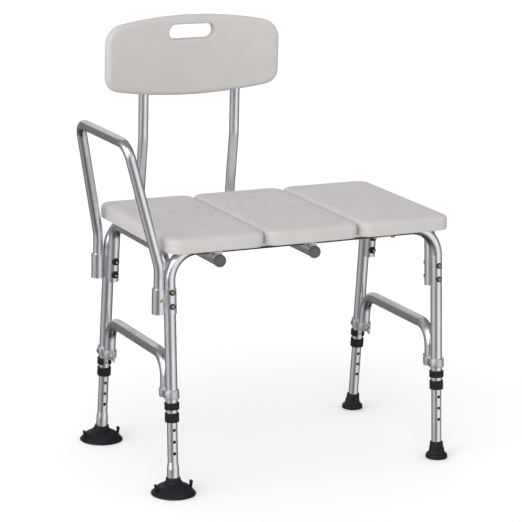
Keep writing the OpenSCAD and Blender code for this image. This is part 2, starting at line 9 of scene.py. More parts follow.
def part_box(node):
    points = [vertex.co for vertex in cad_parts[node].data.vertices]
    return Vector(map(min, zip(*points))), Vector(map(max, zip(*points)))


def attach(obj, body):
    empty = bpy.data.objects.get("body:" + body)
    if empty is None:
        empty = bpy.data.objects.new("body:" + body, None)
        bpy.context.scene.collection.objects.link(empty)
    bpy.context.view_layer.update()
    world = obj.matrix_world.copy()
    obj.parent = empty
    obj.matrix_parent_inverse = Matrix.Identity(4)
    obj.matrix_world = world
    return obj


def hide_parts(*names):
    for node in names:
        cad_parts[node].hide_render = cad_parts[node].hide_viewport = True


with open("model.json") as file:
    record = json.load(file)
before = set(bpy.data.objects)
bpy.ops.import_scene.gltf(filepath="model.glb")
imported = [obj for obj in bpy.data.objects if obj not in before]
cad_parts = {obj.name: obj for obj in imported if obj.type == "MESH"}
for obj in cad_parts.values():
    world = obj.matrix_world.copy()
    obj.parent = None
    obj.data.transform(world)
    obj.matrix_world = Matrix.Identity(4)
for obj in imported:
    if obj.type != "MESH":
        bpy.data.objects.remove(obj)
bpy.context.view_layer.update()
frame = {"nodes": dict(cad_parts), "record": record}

NODES = frame["nodes"]
RECORD = frame["record"]
MM = 0.001
TAU = 2 * math.pi

LEGS = ("front_left", "rear_left", "front_right", "rear_right")
MOUNTS = {m["name"]: m for m in RECORD["mounts"]}
JOINTS = {j["name"]: j for j in RECORD["behaviour"]["joints"]}

# Sizes shared with the CAD, in millimetres
TUBE_R = 12.7
INNER_R = 11.1
SLEEVE_R = 14.5
PANEL_CORNER_R = 28.0
DRAIN_R = 3.6
DRAIN_PITCH = 74.5
DRAIN_X = 76.5
PAIR = 26.913
COLLAR_R = 16.5
STUD_Z = 214.5
BOLT_Z = (403.0, 433.0)
BUTTON_Z = 189.3
GAP = 0.15


# ------------------------------------------------------------- mesh helpers

class Shape:
    """Gathers vertices and faces in millimetres and turns them into one piece."""

    def __init__(self):
        self.verts = []
        self.faces = []

    def add(self, verts, faces, place=None):
        start = len(self.verts)
        place = place or Matrix.Identity(4)
        self.verts += [place @ Vector(v) for v in verts]
        self.faces += [tuple(start + i for i in f) for f in faces]
        return self

    def mesh(self, name, sharp=32):
        me = bpy.data.meshes.new(name)
        me.from_pydata([v * MM for v in self.verts], [], self.faces)
        bm = bmesh.new()
        bm.from_mesh(me)
        bmesh.ops.remove_doubles(bm, verts=bm.verts, dist=1e-7)
        bmesh.ops.recalc_face_normals(bm, faces=bm.faces)
        bm.to_mesh(me)
        bm.free()
        finish_mesh(me, sharp)
        return me


def finish_mesh(me, sharp=32):
    me.polygons.foreach_set("use_smooth", [True] * len(me.polygons))
    me.set_sharp_from_angle(angle=math.radians(sharp))


def link(name, me, material):
    obj = bpy.data.objects.new(name, me)
    bpy.context.scene.collection.objects.link(obj)
    if material:
        me.materials.clear()
        me.materials.append(material)
    return obj


def piece(name, shape, material, body, nodes=(), sharp=32):
    obj = shape if isinstance(shape, bpy.types.Object) else link(
        name, shape.mesh(name, sharp), material)
    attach(obj, body)
    if nodes:
        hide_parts(*nodes)
    return obj


def lathe(profile, steps=72, wave=None):
    """Turns (radius, height) points about Z; wave(angle, radius, height) may change the radius."""
    verts, faces, rings = [], [], []
    for r, z in profile:
        if r < 1e-6:
            rings.append([len(verts)])
            verts.append((0, 0, z))
            continue
        ring = []
        for k in range(steps):
            a = TAU * k / steps
            q = wave(a, r, z) if wave else r
            ring.append(len(verts))
            verts.append((q * math.cos(a), q * math.sin(a), z))
        rings.append(ring)
    for lo, hi in zip(rings, rings[1:]):
        for k in range(steps):
            n = (k + 1) % steps
            if len(lo) == 1:
                faces.append((lo[0], hi[n], hi[k]))
            elif len(hi) == 1:
                faces.append((lo[k], lo[n], hi[0]))
            else:
                faces.append((lo[k], lo[n], hi[n], hi[k]))
    return verts, faces


def closed(profile):
    return profile + profile[:1]


def loft(rings):
    """Joins rings of the same number of points; the ends are closed flat."""
    n = len(rings[0])
    verts = [p for ring in rings for p in ring]
    faces = []
    for j in range(len(rings) - 1):
        for k in range(n):
            m = (k + 1) % n
            faces.append((j * n + k, j * n + m, (j + 1) * n + m, (j + 1) * n + k))
    faces.append(tuple(range(n - 1, -1, -1)))
    faces.append(tuple((len(rings) - 1) * n + k for k in range(n)))
    return verts, faces


def rounded_box(sx, sy, sz, r, steps=5):
    """Block centred on the origin with every edge rounded to r."""
    rings = []
    levels = [(r - r * math.sin(a), -sz / 2 + r - r * math.cos(a))
              for a in [math.pi / 2 * i / steps for i in range(steps + 1)]]
    for inset, z in levels + [(i, -z) for i, z in reversed(levels)]:
        rings.append([(x, y, z) for x, y in
                      plan(sx / 2 - inset, sy / 2 - inset, max(r - inset, 0.05), steps)])
    return loft(rings)


def plan(hx, hy, r, steps=8):
    """Rounded rectangle with half sizes hx and hy."""
    out = []
    for cx, cy, start in ((hx - r, hy - r, 0), (r - hx, hy - r, 1),
                          (r - hx, r - hy, 2), (hx - r, r - hy, 3)):
        for i in range(steps + 1):
            a = math.pi / 2 * (start + i / steps)
            out.append((cx + r * math.cos(a), cy + r * math.sin(a)))
    return out


def cylinder(r, z0, z1, steps=48):
    return lathe([(0, z0), (r, z0), (r, z1), (0, z1)], steps)


def aim(origin, axis, across=None):
    """Matrix that puts +Z along axis at origin, in millimetres."""
    z = Vector(axis).normalized()
    x = Vector(across) if across else Vector((1, 0, 0))
    if abs(x.normalized().dot(z)) > 0.99:
        x = Vector((0, 1, 0))
    x = (x - z * x.dot(z)).normalized()
    y = z.cross(x)
    m = Matrix((x, y, z)).transposed().to_4x4()
    m.translation = Vector(origin)
    return m


def carve(name, base, cutters, material, sharp=30):
    """The base shape with the cutter shapes taken out, as one object."""
    me = base.mesh(name)
    obj = link(name, me, material)
    tool = Shape()
    for verts, faces, place in cutters:
        tool.add(verts, faces, place)
    tool_obj = link(name + "_tool", tool.mesh(name + "_tool"), None)
    mod = obj.modifiers.new("cut", "BOOLEAN")
    mod.operation = "DIFFERENCE"
    mod.solver = "EXACT"
    mod.use_self = True
    mod.object = tool_obj
    bpy.context.view_layer.update()
    graph = bpy.context.evaluated_depsgraph_get()
    cut = bpy.data.meshes.new_from_object(obj.evaluated_get(graph))
    obj.modifiers.clear()
    obj.data = cut
    cut.name = name
    bpy.data.objects.remove(tool_obj)
    cut.materials.clear()
    cut.materials.append(material)
    finish_mesh(cut, sharp)
    return obj


# ---------------------------------------------------------------- materials

def new_material(name, color, roughness, metallic=0.0):
    mat = bpy.data.materials.new(name)
    mat.use_nodes = True
    tree = mat.node_tree
    shader = tree.nodes["Principled BSDF"]
    shader.inputs["Base Color"].default_value = (*color, 1)
    shader.inputs["Roughness"].default_value = roughness
    shader.inputs["Metallic"].default_value = metallic
    return mat, tree, shader


def texture(tree, kind, scale, detail=4.0, stretch=(1, 1, 1), **sockets):
    coords = tree.nodes.new("ShaderNodeTexCoord")
    mapping = tree.nodes.new("ShaderNodeMapping")
    mapping.inputs["Scale"].default_value = stretch
    tree.links.new(coords.outputs["Object"], mapping.inputs["Vector"])
    tex = tree.nodes.new(kind)
    tex.inputs["Scale"].default_value = scale
    if "Detail" in tex.inputs:
        tex.inputs["Detail"].default_value = detail
    for key, value in sockets.items():
        tex.inputs[key].default_value = value
    tree.links.new(mapping.outputs["Vector"], tex.inputs["Vector"])
    return tex


def ramp(tree, source, stops):
    node = tree.nodes.new("ShaderNodeValToRGB")
    elements = node.color_ramp.elements
    while len(elements) < len(stops):
        elements.new(0.5)
    for element, (at, color) in zip(elements, stops):
        element.position = at
        element.color = (*color, 1) if len(color) == 3 else color
    tree.links.new(source, node.inputs["Fac"])
    return node.outputs["Color"]


def spread(tree, source, low, high, lo_in=0.3, hi_in=0.7):
    node = tree.nodes.new("ShaderNodeMapRange")
    node.inputs["From Min"].default_value = lo_in
    node.inputs["From Max"].default_value = hi_in
    node.inputs["To Min"].default_value = low
    node.inputs["To Max"].default_value = high
    tree.links.new(source, node.inputs["Value"])
    return node.outputs["Result"]


def bumps(tree, shader, layers):
    """Stacks (height output, strength, distance in millimetres) as bump maps."""
    last = None
    for height, strength, distance in layers:
        node = tree.nodes.new("ShaderNodeBump")
        node.inputs["Strength"].default_value = strength
        node.inputs["Distance"].default_value = distance * MM
        tree.links.new(height, node.inputs["Height"])
        if last:
            tree.links.new(last, node.inputs["Normal"])
        last = node.outputs["Normal"]
    tree.links.new(last, shader.inputs["Normal"])


def shade(color, k):
    return tuple(c * k for c in color)


def plastic_material():
    base = (0.505, 0.484, 0.474)
    mat, tree, shader = new_material("moulded_panel", base, 0.46)
    cloud = texture(tree, "ShaderNodeTexNoise", 14, 3)
    grain = texture(tree, "ShaderNodeTexNoise", 1500, 2)
    pebble = texture(tree, "ShaderNodeTexVoronoi", 900)
    tree.links.new(ramp(tree, cloud.outputs["Fac"], [
        (0.3, shade(base, 0.965)), (0.5, base), (0.72, shade(base, 1.03))]),
        shader.inputs["Base Color"])
    tree.links.new(spread(tree, grain.outputs["Fac"], 0.40, 0.54),
                   shader.inputs["Roughness"])
    bumps(tree, shader, [(cloud.outputs["Fac"], 0.12, 0.6),
                         (pebble.outputs["Distance"], 0.22, 0.12),
                         (grain.outputs["Fac"], 0.2, 0.05)])
    return mat


def metal_material(name, color, rough, streak=(1, 1, 0.02), streak_scale=900,
                   fine=0.05, metallic=1.0):
    mat, tree, shader = new_material(name, color, rough, metallic)
    lines = texture(tree, "ShaderNodeTexNoise", streak_scale, 3, stretch=streak)
    patches = texture(tree, "ShaderNodeTexNoise", 22, 4)
    grain = texture(tree, "ShaderNodeTexNoise", 2600, 2)
    tree.links.new(ramp(tree, patches.outputs["Fac"], [
        (0.28, shade(color, 0.93)), (0.5, color), (0.75, shade(color, 1.04))]),
        shader.inputs["Base Color"])
    tree.links.new(spread(tree, lines.outputs["Fac"], rough - 0.02, rough + 0.04),
                   shader.inputs["Roughness"])
    bumps(tree, shader, [(lines.outputs["Fac"], 0.02, fine * 0.3),
                         (grain.outputs["Fac"], 0.02, fine * 0.3)])
    return mat


def cast_material():
    mat, tree, shader = new_material("cast_alloy", (0.72, 0.73, 0.74), 0.4, 1.0)
    skin = texture(tree, "ShaderNodeTexNoise", 420, 5)
    pits = texture(tree, "ShaderNodeTexVoronoi", 650)
    tree.links.new(ramp(tree, skin.outputs["Fac"], [
        (0.3, (0.64, 0.65, 0.66)), (0.55, (0.73, 0.74, 0.75)), (0.8, (0.8, 0.8, 0.81))]),
        shader.inputs["Base Color"])
    tree.links.new(spread(tree, skin.outputs["Fac"], 0.34, 0.52), shader.inputs["Roughness"])
    bumps(tree, shader, [(skin.outputs["Fac"], 0.35, 0.25),
                         (pits.outputs["Distance"], 0.15, 0.12)])
    return mat


def dark_material(name, color, rough, dust=1.6, scale=260):
    mat, tree, shader = new_material(name, color, rough)
    shader.inputs["Specular IOR Level"].default_value = 0.22
    wear = texture(tree, "ShaderNodeTexNoise", 38, 5)
    grain = texture(tree, "ShaderNodeTexNoise", scale * 5, 3)
    cells = texture(tree, "ShaderNodeTexVoronoi", scale * 4)
    tree.links.new(ramp(tree, wear.outputs["Fac"], [
        (0.35, color), (0.6, shade(color, 1.25)), (0.8, shade(color, dust))]),
        shader.inputs["Base Color"])
    tree.links.new(spread(tree, wear.outputs["Fac"], rough - 0.08, rough + 0.1),
                   shader.inputs["Roughness"])
    bumps(tree, shader, [(grain.outputs["Fac"], 0.3, 0.12),
                         (cells.outputs["Distance"], 0.18, 0.15)])
    return mat


M_PANEL = plastic_material()
M_TUBE = metal_material("anodised_tube", (0.80, 0.805, 0.82), 0.24)
M_CAST = cast_material()
M_STEEL = metal_material("zinc_steel", (0.56, 0.56, 0.57), 0.3, (1, 1, 1), 700, 0.08)
M_RUBBER = dark_material("black_rubber", (0.0105, 0.0105, 0.0135), 0.44, 1.5)
M_NYLON = dark_material("black_nylon", (0.010, 0.010, 0.0125), 0.38, 1.4)
M_PLUG = dark_material("grey_plug", (0.085, 0.088, 0.094), 0.5)
M_BRASS = metal_material("brass_pin", (0.56, 0.41, 0.16), 0.3, (1, 1, 1), 800, 0.06)

BY_SLOT = {"anodised_tube": M_TUBE, "cast_alloy": M_CAST, "moulded_panel": M_PANEL,
           "zinc_steel": M_STEEL, "black_rubber": M_RUBBER, "black_nylon": M_NYLON,
           "grey_plug": M_PLUG, "brass_pin": M_BRASS}
for part in RECORD["subparts"]:
    obj = NODES[part["node"]]
    obj.data.materials.clear()
    obj.data.materials.append(BY_SLOT[part["material_slot"]])


# --------------------------------------------------------------- placements

def sole_place(leg):
    """Upright frame on the floor under a foot, in millimetres."""
    return Matrix.Translation(Vector(MOUNTS[leg + "_sole"]["pos_m"]) / MM)


def leg_place(leg):
    """Frame of a leg in millimetres: Z up its axis from the sole, Y into the bench."""
    up = Vector(JOINTS[leg + "_height"]["axis"]).normalized()
    inward = Vector(JOINTS[leg + "_wing_turn"]["axis"])
    inward = (inward - up * inward.dot(up)).normalized()
    m = Matrix((inward.cross(up), inward, up)).transposed().to_4x4()
    m.translation = Vector(MOUNTS[leg + "_sole"]["pos_m"]) / MM
    return m


PLACE = {leg: leg_place(leg) for leg in LEGS}
BODY = {leg: leg.replace("_", " ") for leg in LEGS}
ALONG_Y = Matrix.Rotation(-math.pi / 2, 4, "X")


def centre(node):
    lo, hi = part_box(node)
    return (lo + hi) / 2 / MM


# -------------------------------------------------------------- seat panels

# Way from the panel's side to its flat top: (inset, height below the top)
PANEL_EDGE = [(0.0, 14.0), (0.15, 10.5), (0.9, 7.4), (2.3, 4.9), (4.3, 3.0), (6.8, 1.75),
              (9.6, 1.0), (12.6, 0.6), (13.6, 0.62), (14.4, 0.42), (15.6, 0.08), (17.0, 0.0)]
PANEL_FOOT = [(2.6, 32.0), (1.2, 31.6), (0.5, 30.6), (0.3, 29.0), (0.05, 20.0)]


def rail_cutters():
    out = []
    for node in ("front_frame_tube", "rear_frame_tube"):
        lo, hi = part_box(node)
        y = centre_of_rail(node)
        out.append((*cylinder(TUBE_R + 0.4, lo.x / MM + TUBE_R, hi.x / MM - TUBE_R),
                    aim((0, y, hi.z / MM - TUBE_R), (1, 0, 0))))
    for node in ("left_side_tube", "right_side_tube"):
        lo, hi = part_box(node)
        mid = (lo + hi) / 2 / MM
        reach = (hi.y - lo.y) / MM / 2 - 30
        out.append((*cylinder(TUBE_R + 0.4, -reach, reach),
                    aim((mid.x, mid.y, hi.z / MM - TUBE_R), (0, 1, 0))))
    return out


def centre_of_rail(node):
    """Middle of the long tube's level run, across the bench."""
    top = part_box(node)[1].z - 0.004
    ys = [v.co.y for v in NODES[node].data.vertices if v.co.z > top]
    return (min(ys) + max(ys)) / 2 / MM


def drain_cutter(x, y, top, base):
    return (*lathe([(0, base - 2), (DRAIN_R, base - 2), (DRAIN_R, top - 0.5),
                    (DRAIN_R + 0.15, top - 0.15), (DRAIN_R + 0.5, top + 0.06),
                    (DRAIN_R + 0.5, top + 2), (0, top + 2)], 32),
            Matrix.Translation((x, y, 0)))


def seat_panel(node, rails):
    lo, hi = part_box(node)
    mid = (lo + hi) / 2 / MM
    hx, hy, top = (hi.x - lo.x) / MM / 2, (hi.y - lo.y) / MM / 2, hi.z / MM
    rings = []
    for inset, drop in PANEL_FOOT + PANEL_EDGE:
        r = max(PANEL_CORNER_R - inset * 0.8, 6)
        rings.append([(mid.x + x, mid.y + y, top - drop)
                      for x, y in plan(hx - inset, hy - inset, r, 10)])
    base = Shape().add(*loft(rings))
    cutters = list(rails)
    for dx, count in ((-DRAIN_X, 3), (0, 4), (DRAIN_X, 3)):
        for i in range(count):
            cutters.append(drain_cutter(mid.x + dx, mid.y + (i - (count - 1) / 2) * DRAIN_PITCH,
                                        top, lo.z / MM))
    obj = carve(node + "_shell", base, cutters, M_PANEL)
    return piece(node + "_shell", obj, M_PANEL, "bench frame", [node])


RAILS = rail_cutters()
for name in ("seat_panel_left", "seat_panel_middle", "seat_panel_right"):
    seat_panel(name, RAILS)


# ----------------------------------------------------------------- backrest

BACK = {"width": 416.0, "top": 946.0, "bottom": 768.0, "thick": 26.0, "curve": 1200.0,
        "edge": 1000.0, "top_r": 44.0, "low_r": 34.0, "slot_z": 910.0, "slot_w": 110.0,
        "slot_h": 33.0, "tube_y": 236.0, "y": 238.0, "tube_top": 884.0}
BACK_LO, BACK_HI = (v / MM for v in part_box("backrest_panel"))
BACK_X = (BACK_LO.x + BACK_HI.x) / 2
BACK_Y = BACK_HI.y - BACK["thick"] / 2


def back_outline(inset):
    """Front outline of the backrest, moved inwards by inset, as (x, z) points."""
    half, edge = BACK["width"] / 2, BACK["edge"]
    out = []

    def arc(cx, cz, r, start, end, steps):
        for i in range(steps + 1):
            a = start + (end - start) * i / steps
            out.append((cx + (r - inset) * math.cos(a), cz + (r - inset) * math.sin(a)))

    def corner(r):
        turn = math.acos((half - r) / (edge - r))
        return turn, edge - (edge - r) * math.sin(turn)

    rt, rl = BACK["top_r"], BACK["low_r"]
    ta, td = corner(rt)
    la, ld = corner(rl)
    tz, lz = BACK["top"] - td, BACK["bottom"] + ld
    arc(half - rt, tz, rt, 0, ta, 12)
    arc(0, BACK["top"] - edge, edge, ta, math.pi - ta, 48)
    arc(rt - half, tz, rt, math.pi - ta, math.pi, 12)
    arc(rl - half, lz, rl, math.pi, math.pi + la, 12)
    arc(0, BACK["bottom"] + edge, edge, math.pi + la, TAU - la, 48)
    arc(half - rl, lz, rl, TAU - la, TAU, 12)
    return out


def slot_outline(grow):
    r = BACK["slot_h"] / 2 + grow
    c = (BACK["slot_w"] - BACK["slot_h"]) / 2
    pts = []
    for side, start in ((1, -math.pi / 2), (-1, math.pi / 2)):
        for i in range(17):
            a = start + math.pi * i / 16
            pts.append((side * c + r * math.cos(a), BACK["slot_z"] + r * math.sin(a)))
    return pts


def edge_steps(r, far, steps=7):
    """Quarter-round edge: (inset, depth from the face) from the face to the side."""
    out = []
    for i in range(steps + 1):
        a = math.pi / 2 * i / steps
        out.append((r - r * math.sin(a), far * (1 - math.cos(a))))
    return out


def backrest():
    t = BACK["thick"]
    front = edge_steps(11, 9)
    rear = edge_steps(6, 5, 5)
    levels = [(19, 0.0), (15, 0.25)] + [(i + 0.0, d + 0.5) for i, d in front]
    levels += [(i, t - d) for i, d in reversed(rear)]
    rings = [[(x, d - t / 2, z) for x, z in back_outline(i)] for i, d in levels]
    base = Shape().add(*loft(rings))
    lip = edge_steps(4.5, 4.5, 6)
    slot = [(4.5, -t / 2 - 2)] + [(i, d - t / 2 + 0.02) for i, d in lip]
    slot += [(i, t / 2 - d - 0.02) for i, d in reversed(edge_steps(3, 3, 4))] + [(3, t / 2 + 2)]
    cutters = [(*loft([[(x, y, z) for x, z in slot_outline(g)] for g, y in slot]), None)]
    half_gauge = (centre("right_back_tube").x - centre("left_back_tube").x) / 2
    rise = half_gauge ** 2 / (2 * BACK["curve"])
    depth, top = BACK["tube_y"] - BACK["y"] + rise, BACK["tube_top"] + 1.5
    for side in (-1, 1):
        r = INNER_R + 1.3
        groove = [(math.cos(a) * r, math.sin(a) * r)
                  for a in [math.pi + math.pi * i / 16 for i in range(17)]]
        groove += [(r, t), (-r, t)]
        rings = [[(side * half_gauge + x, depth + y, z) for x, y in groove]
                 for z in (BACK["bottom"] - 40, top)]
        cutters.append((*loft(rings), None))
    obj = carve("backrest_shell", base, cutters, M_PANEL)
    bend(obj.data)
    return piece("backrest_shell", obj, M_PANEL, "backrest", ["backrest_panel"])


def bend(me):
    """Slices the flat panel into strips and curves it forward at both ends."""
    bm = bmesh.new()
    bm.from_mesh(me)
    half = BACK["width"] / 2
    steps = 52
    for i in range(1, steps):
        x = (-half + 2 * half * i / steps) * MM
        geom = bm.verts[:] + bm.edges[:] + bm.faces[:]
        bmesh.ops.bisect_plane(bm, geom=geom, dist=1e-7, plane_co=(x, 0, 0), plane_no=(1, 0, 0))
    for v in bm.verts:
        x = v.co.x / MM
        v.co.y -= x * x / (2 * BACK["curve"]) * MM
        v.co.x += BACK_X * MM
        v.co.y += BACK_Y * MM
    bm.to_mesh(me)
    bm.free()
    finish_mesh(me, 26)


backrest()


# -------------------------------------------------------------- leg fittings

def knurl(count, depth, lo, hi):
    def wave(a, r, z):
        return r - depth * (0.5 + 0.5 * math.cos(count * a)) if lo < z < hi and r > 13.5 else r
    return wave


def lock_ring(leg):
    lo, hi = 155.0, 175.0
    profile = closed([(11.25, lo + 0.4), (12.6, lo), (14.4, lo), (15.1, lo + 0.7), (15.25, lo + 2.2),
                      (14.9, lo + 2.8), (15.25, lo + 3.4), (15.25, hi - 4.2), (14.9, hi - 3.6),
                      (15.25, hi - 3.0), (15.2, hi - 1.0), (14.7, hi - 0.1), (13.2, hi),
                      (12.78, hi - 0.5), (12.78, 166.2), (11.25, 166.0)])
    shape = Shape().add(*lathe(profile, 216, knurl(36, 0.55, lo + 3.2, hi - 4.0)), PLACE[leg])
    piece(leg + "_lock_ring_knurled", shape, M_NYLON, BODY[leg] + " lock ring",
          [leg + "_lock_ring"], 40)


def split_ring(r_in, levels, gap_deg, steps=56):
    """Ring with a gap facing +Y; levels are (outer radius, height) from bottom to top."""
    start = math.pi / 2 + math.radians(gap_deg / 2)
    rings = []
    for k in range(steps + 1):
        a = start + (TAU - math.radians(gap_deg)) * k / steps
        section = [(r_in, levels[0][1])] + list(levels) + [(r_in, levels[-1][1])]
        rings.append([(r * math.cos(a), r * math.sin(a), z) for r, z in section])
    return loft(rings)


def height_clip(leg):
    lo, hi = 182.0, 197.0
    levels = [(15.0, lo), (15.8, lo + 0.6), (16.0, lo + 1.6), (16.0, lo + 3.0), (15.5, lo + 3.6),
              (15.5, hi - 4.0), (16.0, hi - 3.4), (16.0, hi - 1.4), (15.7, hi - 0.4), (15.0, hi)]
    shape = Shape().add(*split_ring(12.85, levels, 64), PLACE[leg])
    for side in (-1, 1):
        a = math.pi / 2 + side * math.radians(34)
        lip = Matrix.Translation((14.4 * math.cos(a), 14.4 * math.sin(a), (lo + hi) / 2)) \
            @ Matrix.Rotation(a, 4, "Z")
        shape.add(*rounded_box(3.0, 2.6, hi - lo - 1.6, 0.9), PLACE[leg] @ lip)
    for side in (-1, 0, 1):
        a = -math.pi / 2 + side * 1.15
        pad = Matrix.Translation((15.7 * math.cos(a), 15.7 * math.sin(a), (lo + hi) / 2)) \
            @ Matrix.Rotation(a, 4, "Z")
        shape.add(*rounded_box(0.7, 6.0, 6.4, 0.3, 3), PLACE[leg] @ pad)
    piece(leg + "_height_clip_moulded", shape, M_NYLON, "bench frame",
          [leg + "_height_clip"], 35)


def dome(r, root, tip, bulge, steps=6):
    """Round pin from root to tip, its end domed by bulge."""
    out = [(0, root), (r - 0.25, root), (r, root + 0.25), (r, tip - bulge)]
    for i in range(1, steps + 1):
        a = math.pi / 2 * i / steps
        out.append((r * math.cos(a) if i < steps else 0, tip - bulge + bulge * math.sin(a)))
    return out


def height_button(leg):
    place = PLACE[leg] @ Matrix.Translation((0, 0, BUTTON_Z)) @ ALONG_Y
    shape = Shape().add(*lathe(dome(3.5, 11.25, TUBE_R + 2.5, 2.0), 40), place)
    piece(leg + "_height_button_domed", shape, M_STEEL, BODY[leg] + " height button",
          [leg + "_height_button"])


def wing_nut(leg):
    y0 = PAIR + COLLAR_R - 1 + GAP
    place = PLACE[leg] @ Matrix.Translation((0, y0, STUD_Z)) @ ALONG_Y \
        @ Matrix.Rotation(math.pi / 2, 4, "Z")
    profile = closed([(3.08, 0.3), (3.6, 0), (6.0, 0), (6.5, 0.5), (6.1, 2.2), (5.3, 4.6), (5.0, 7.4),
                      (4.5, 8.0), (3.5, 8.0), (3.08, 7.6)])
    shape = Shape().add(*lathe(profile, 48), place)
    outline = [(3.4, 1.2), (6.2, 1.2), (8.8, 2.8), (10.5, 5.2), (11.3, 8.4), (11.2, 11.6), (9.9, 14.2),
               (7.6, 14.9), (5.4, 13.8), (4.2, 11.0), (3.6, 8.4)]
    middle = Vector((7.4, 8.0))
    for side in (-1, 1):
        rings = []
        for lift, size in ((-1.6, 0.80), (-1.3, 0.93), (-0.6, 1.0), (0.6, 1.0), (1.3, 0.93), (1.6, 0.80)):
            rings.append([(side * (middle.x + (x - middle.x) * size), lift,
                           middle.y + (z - middle.y) * size) for x, z in outline])
        shape.add(*loft(rings), place)
    piece(leg + "_wing_nut_cast", shape, M_CAST, BODY[leg] + " wing nut",
          [leg + "_wing_nut"], 50)


def brace_collar(leg):
    """Two rounded rings, one on the leg and one on the brace, joined by a web."""
    lo, hi = 205.0, 224.0
    ring = closed([(12.85, lo + 0.4), (13.4, lo), (15.6, lo), (16.3, lo + 0.6), (16.5, lo + 1.8),
                   (16.5, hi - 1.8), (16.3, hi - 0.6), (15.6, hi), (13.4, hi), (12.85, hi - 0.4)])
    small = [(r - 1.0 if r > 14 else r, z) for r, z in ring]
    shape = Shape().add(*lathe(ring, 80), PLACE[leg])
    shape.add(*lathe(small, 80), PLACE[leg] @ Matrix.Translation((0, PAIR, 0)))
    for side in (-1, 1):
        web = Matrix.Translation((side * 11.0, PAIR / 2, (lo + hi) / 2))
        shape.add(*rounded_box(5.0, 13.5, hi - lo - 2.4, 1.6), PLACE[leg] @ web)
    for boss in (STUD_Z - 6.2, STUD_Z + 6.2):
        rib = Matrix.Translation((0, -15.9, boss))
        shape.add(*rounded_box(13.0, 1.8, 2.2, 0.8, 4), PLACE[leg] @ rib)
    piece(leg + "_brace_collar_cast", shape, M_CAST, "bench frame",
          [leg + "_brace_collar"], 35)


def suction_foot(leg):
    """Soft cup: neck, sloped back with ribs, thin lip and two pull tabs."""
    sole = sole_place(leg)
    lip = 47.9
    skin = [(0, 3.2), (20, 3.6), (34, 2.4), (43, 0.7), (lip - 1.6, 0), (lip - 0.5, 0.25), (lip, 1.1),
            (lip - 0.3, 2.1), (lip - 2.0, 3.9), (44.4, 5.8), (41.6, 8.4), (38.2, 12.0), (34.4, 15.8),
            (30.6, 18.2), (27.0, 19.8), (24.0, 21.2), (21.3, 23.0), (19.2, 25.0), (17.6, 27.2),
            (16.6, 29.4), (0, 29.4)]

    def ribs(a, r, z):
        on_back = 8.0 < z < 18.0 and 29 < r < 43
        return r + 0.55 * math.sin(9 * a) ** 4 if on_back else r
    shape = Shape().add(*lathe(skin, 144, ribs), sole)
    neck = closed([(11.4, 20.0), (16.4, 22.0), (16.2, 27.0), (15.75, 30.5), (15.7, 33.8), (15.3, 34.7),
                   (14.4, 35.0), (13.5, 34.8), (13.2, 34.2), (13.2, 30.0), (11.4, 26.0)])
    shape.add(*lathe(neck, 72), PLACE[leg])
    for turn in (0, math.pi):
        out = sole @ Matrix.Rotation(turn, 4, "Z")
        tab = Matrix.Translation((40.2, 0, 15.0)) @ Matrix.Rotation(math.radians(5), 4, "Y")
        shape.add(*rounded_box(4.6, 9.0, 16.0, 2.0), out @ tab)
        grip = Matrix.Translation((40.8, 0, 21.0)) @ Matrix.Rotation(math.radians(5), 4, "Y")
        shape.add(*rounded_box(6.0, 11.0, 7.4, 2.8), out @ grip)
    piece(leg + "_suction_cup", shape, M_RUBBER, BODY[leg] + " leg",
          [leg + "_suction_foot"], 38)


def rubber_tip(leg):
    """Flared crutch-style tip with rings round its flange and a grooved sole."""
    sole = sole_place(leg)
    skin = [(0, 1.4), (6, 1.4), (6.6, 0), (9.4, 0), (10.0, 1.4), (13.4, 1.4), (14.0, 0), (22.6, 0),
            (23.9, 0.5), (24.2, 1.6), (24.2, 3.4), (23.5, 3.9), (23.5, 4.5), (24.1, 5.0), (23.9, 7.4),
            (22.8, 8.8), (20.4, 10.0), (18.6, 11.6), (17.6, 14.4), (16.9, 18.0), (16.2, 22.4), (0, 22.4)]
    shape = Shape().add(*lathe(skin, 96), sole)
    neck = closed([(11.3, 16.0), (16.6, 16.0), (15.7, 22.0), (15.0, 28.0), (14.6, 33.0), (14.3, 35.0),
                   (13.6, 36.0), (12.4, 36.2), (11.6, 35.6), (11.3, 34.6)])
    shape.add(*lathe(neck, 72), PLACE[leg])
    piece(leg + "_rubber_tip_moulded", shape, M_RUBBER, BODY[leg] + " leg",
          [leg + "_rubber_tip"], 38)


for leg in LEGS:
    lock_ring(leg)
    height_clip(leg)
    height_button(leg)
    wing_nut(leg)
    brace_collar(leg)
    if leg.endswith("left"):
        suction_foot(leg)
    else:
        rubber_tip(leg)


# ------------------------------------------------------------ small hardware

def socket_head(r, h, wrench):
    """Low round head with a rounded rim and a driver recess, from 0 up to h."""
    return [(0, 0), (r, 0), (r + 0.02, h * 0.35), (r * 0.93, h * 0.7), (r * 0.78, h * 0.93),
            (r * 0.6, h), (wrench, h), (wrench * 0.94, h - 1.5), (0, h - 1.7)]


def hex_recess(wrench):
    def wave(a, r, z):
        if r > wrench + 0.01:
            return r
        part = (a % (TAU / 6)) - TAU / 12
        return r * math.cos(math.pi / 6) / math.cos(part)
    return wave


